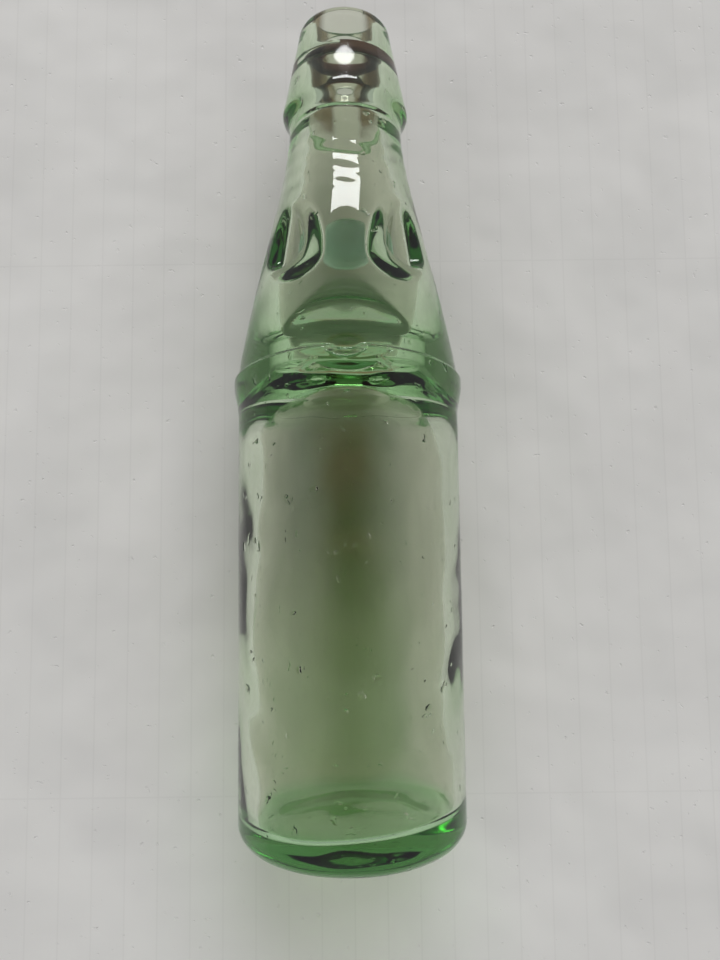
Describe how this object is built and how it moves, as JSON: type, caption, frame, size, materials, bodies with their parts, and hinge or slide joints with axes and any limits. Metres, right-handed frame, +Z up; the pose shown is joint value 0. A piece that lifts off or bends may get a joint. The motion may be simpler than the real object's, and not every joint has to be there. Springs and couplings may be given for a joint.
{
  "type": "marble stopper bottle",
  "caption": "Pinched-neck glass bottle for fizzy drinks, closed by a loose glass marble that the gas presses up against a rubber ring inside the mouth.",
  "frame": {"origin": "centre of the flat ring the bottle stands on, in the plane it stands on", "axes": "+Z up along the bottle's axis to the mouth; the two dimples of the neck face -Y, which is the front; +X to the right as seen from the front"},
  "size_m": [0.0602, 0.0602, 0.217],
  "materials": {
    "bottle_glass": "gloss",
    "marble_glass": "gloss",
    "ring_rubber": "matte"
  },
  "bodies": {
    "bottle": {"glass_bottle": "bottle_glass", "sealing_ring": "ring_rubber"},
    "marble": {"marble": "marble_glass"}
  },
  "joints": [
    {"name": "marble_slide", "type": "slide", "parent": "bottle", "child": "marble", "axis": [0, 0, 1], "range_m": [-0.0224, 0.0463]}
  ]
}
